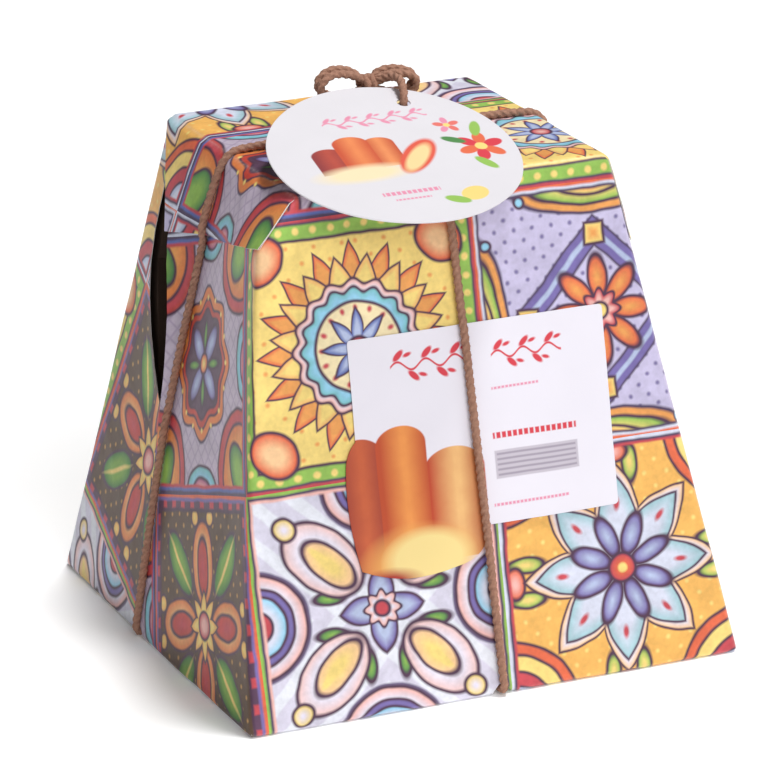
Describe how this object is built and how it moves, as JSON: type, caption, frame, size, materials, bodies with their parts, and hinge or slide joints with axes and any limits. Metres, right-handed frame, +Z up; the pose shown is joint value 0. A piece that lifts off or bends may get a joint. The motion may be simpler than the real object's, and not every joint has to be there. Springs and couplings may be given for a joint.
{
  "type": "wrapped pandoro pack",
  "caption": "Pandoro in a truncated-pyramid gift pack: carton wrapped in patterned paper with folded ends, tied crosswise with twine and a bow, with a front label and a round tag.",
  "frame": {"origin": "middle of the flat base", "axes": "+Z up, the front with the label towards -Y, the loose fold on the left side towards -X"},
  "size_m": [0.2341, 0.2338, 0.2509],
  "materials": {
    "printed_paper": "printed wrapping paper with a soft sheen, slightly creased",
    "label_paper": "white label paper, soft sheen",
    "twine_fibre": "matt brown twisted fibre",
    "tag_card": "smooth white card"
  },
  "bodies": {
    "root": {"wrapped_box": "printed_paper", "label": "label_paper", "twine": "twine_fibre", "tag": "tag_card"}
  },
  "joints": []
}
